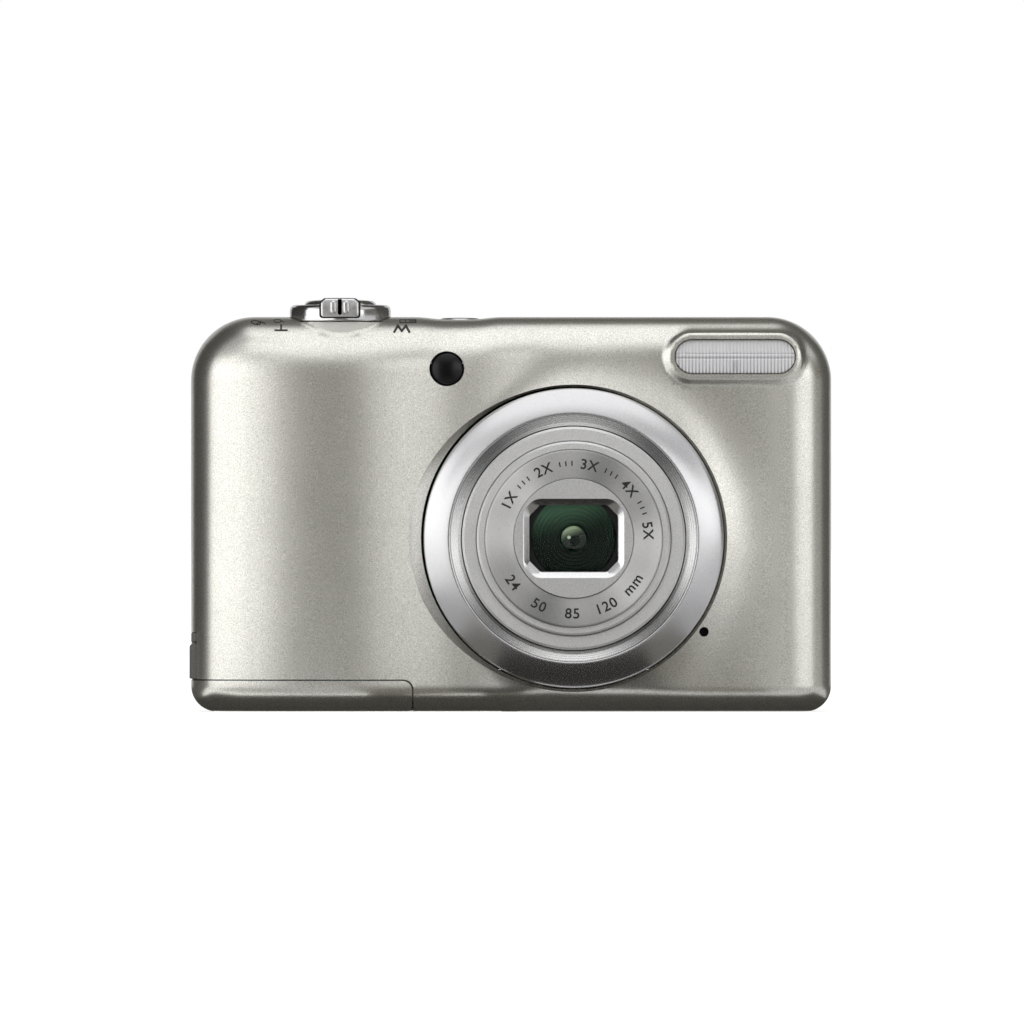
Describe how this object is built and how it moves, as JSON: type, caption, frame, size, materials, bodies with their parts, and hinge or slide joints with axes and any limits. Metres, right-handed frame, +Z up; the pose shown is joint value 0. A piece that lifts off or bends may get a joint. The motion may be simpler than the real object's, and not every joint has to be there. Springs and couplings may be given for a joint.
{
  "type": "compact digital camera",
  "caption": "Pocket digital camera with a grip, a two-stage zoom lens with a barrier, top shutter and zoom control, flash, rear screen and keys, and a hinged battery door.",
  "frame": {"origin": "centre of the overall bounding box on the surface the camera stands on", "axes": "+Z up; the lens looks along -Y; +X is to the right for someone facing the lens"},
  "size_m": [0.0966, 0.0288, 0.0622],
  "materials": {
    "shell_silver": "satin silver paint",
    "bright_ring": "polished",
    "turned_metal": "fine lathe lines",
    "barrel_grey": "satin grey paint",
    "name_ring_metal": "circular brushed",
    "window_grey": "matt grey",
    "blade_black": "matt black",
    "lens_glass": "coated",
    "clear_window": "ribbed, clear",
    "screen_glass": "gloss",
    "lamp_black": "gloss",
    "plated_key": "plated",
    "rear_key": "satin",
    "rubber_grey": "matt",
    "frame_black": "matt black",
    "steel_bright": "plain",
    "brass_plated": "nickel plated",
    "board_green": "coated",
    "cell_jacket": "plain printed jacket",
    "part_metal": "plain"
  },
  "bodies": {
    "camera_body": {"front_cover": "shell_silver", "rear_cover": "shell_silver", "lens_ring": "bright_ring", "turned_ring": "turned_metal", "guide_rods": "steel_bright", "lens_base": "frame_black", "sensor_plate": "part_metal", "image_sensor": "board_green", "flash_window": "clear_window", "timer_lamp": "lamp_black", "microphone": "frame_black", "zoom_motor": "part_metal", "flash_capacitor": "part_metal", "flash_reflector": "part_metal", "flash_tube": "clear_window", "main_board": "board_green", "lcd_panel": "screen_glass", "lcd_window": "screen_glass", "key_board": "board_green", "speaker": "part_metal", "switch_board": "board_green", "case_screws": "steel_bright", "tripod_socket": "brass_plated", "strap_eyelet": "steel_bright", "battery_chamber": "frame_black", "battery_outer": "cell_jacket", "battery_inner": "cell_jacket", "chamber_contacts": "steel_bright", "card_slot": "steel_bright", "memory_card": "frame_black", "usb_connector": "steel_bright", "signal_lamp": "clear_window"},
    "lens_outer": {"barrel_outer": "barrel_grey"},
    "lens_inner": {"barrel_inner": "barrel_grey", "lens_name_ring": "name_ring_metal", "window_plate": "window_grey", "blade_plate": "frame_black", "front_lens": "lens_glass", "shutter_unit": "frame_black", "lens_group": "lens_glass"},
    "leaf_upper": {"blade_upper": "blade_black"},
    "leaf_lower": {"blade_lower": "blade_black"},
    "focus": {"focus_group": "lens_glass"},
    "lever": {"zoom_lever": "plated_key"},
    "shutter_key": {"shutter_button": "plated_key"},
    "power_key": {"power_button": "plated_key"},
    "movie_key": {"movie_button": "rear_key"},
    "mode_key": {"mode_button": "rear_key"},
    "playback_key": {"playback_button": "rear_key"},
    "menu_key": {"menu_button": "rear_key"},
    "delete_key": {"delete_button": "rear_key"},
    "ok_key": {"ok_button": "rear_key"},
    "selector_gimbal": {"selector_pivot": "frame_black"},
    "selector": {"selector_ring": "rear_key"},
    "carriage": {"door_carriage": "part_metal", "door_hinge_pin": "steel_bright"},
    "door": {"battery_door": "shell_silver", "door_contact": "steel_bright"},
    "dc_flap": {"dc_cover": "rubber_grey"},
    "usb_flap": {"usb_cover": "rubber_grey"}
  },
  "joints": [
    {"name": "lens_extend", "type": "slide", "parent": "camera_body", "child": "lens_outer", "axis": [0, -1, 0], "range_m": [0, 0.0105]},
    {"name": "lens_zoom", "type": "slide", "parent": "lens_outer", "child": "lens_inner", "axis": [0, -1, 0], "range_m": [0, 0.0095]},
    {"name": "barrier_upper", "type": "slide", "parent": "lens_inner", "child": "leaf_upper", "axis": [0, 0, -1], "range_m": [0, 0.0051]},
    {"name": "barrier_lower", "type": "slide", "parent": "lens_inner", "child": "leaf_lower", "axis": [0, 0, 1], "range_m": [0, 0.0051]},
    {"name": "focus_travel", "type": "slide", "parent": "camera_body", "child": "focus", "axis": [0, -1, 0], "range_m": [0, 0.002]},
    {"name": "zoom_lever_turn", "type": "hinge", "parent": "camera_body", "child": "lever", "pos_m": [-0.0257, -0.0012, 0.0595], "axis": [0, 0, 1], "range_deg": [-25, 25], "stiffness_Nm_per_rad": 0.03},
    {"name": "shutter_press", "type": "slide", "parent": "camera_body", "child": "shutter_key", "axis": [0, 0, -1], "range_m": [0, 0.0009], "stiffness_N_per_m": 400},
    {"name": "power_press", "type": "slide", "parent": "camera_body", "child": "power_key", "axis": [0, 0, -1], "range_m": [0, 0.0005], "stiffness_N_per_m": 900},
    {"name": "movie_press", "type": "slide", "parent": "camera_body", "child": "movie_key", "axis": [0, -1, 0], "range_m": [0, 0.0004], "stiffness_N_per_m": 900},
    {"name": "mode_press", "type": "slide", "parent": "camera_body", "child": "mode_key", "axis": [0, -1, 0], "range_m": [0, 0.0004], "stiffness_N_per_m": 900},
    {"name": "playback_press", "type": "slide", "parent": "camera_body", "child": "playback_key", "axis": [0, -1, 0], "range_m": [0, 0.0004], "stiffness_N_per_m": 900},
    {"name": "menu_press", "type": "slide", "parent": "camera_body", "child": "menu_key", "axis": [0, -1, 0], "range_m": [0, 0.0004], "stiffness_N_per_m": 900},
    {"name": "delete_press", "type": "slide", "parent": "camera_body", "child": "delete_key", "axis": [0, -1, 0], "range_m": [0, 0.0004], "stiffness_N_per_m": 900},
    {"name": "ok_press", "type": "slide", "parent": "camera_body", "child": "ok_key", "axis": [0, -1, 0], "range_m": [0, 0.0004], "stiffness_N_per_m": 900},
    {"name": "selector_tilt_updown", "type": "hinge", "parent": "camera_body", "child": "selector_gimbal", "pos_m": [-0.0324, 0.01165, 0.0246], "axis": [1, 0, 0], "range_deg": [-3, 3], "stiffness_Nm_per_rad": 0.15},
    {"name": "selector_tilt_side", "type": "hinge", "parent": "selector_gimbal", "child": "selector", "pos_m": [-0.0324, 0.01165, 0.0246], "axis": [0, 0, 1], "range_deg": [-3, 3], "stiffness_Nm_per_rad": 0.15},
    {"name": "door_slide", "type": "slide", "parent": "camera_body", "child": "carriage", "axis": [-1, 0, 0], "range_m": [0, 0.0025]},
    {"name": "door_swing", "type": "hinge", "parent": "carriage", "child": "door", "pos_m": [-0.0157, 0.0021, 0.00085], "axis": [0, -1, 0], "range_deg": [0, 90]},
    {"name": "dc_flap_lift", "type": "hinge", "parent": "camera_body", "child": "dc_flap", "pos_m": [-0.0477, 0.0002, 0.0096], "axis": [0, 1, 0], "range_deg": [0, 100]},
    {"name": "usb_flap_swing", "type": "hinge", "parent": "camera_body", "child": "usb_flap", "pos_m": [0.0475, 0.0081, 0.027], "axis": [0, 0, 1], "range_deg": [0, 90]}
  ],
  "couplings": [
    {"joint": "lens_zoom", "follows": "lens_extend", "ratio": 0.9},
    {"joint": "barrier_lower", "follows": "barrier_upper", "ratio": 1}
  ]
}
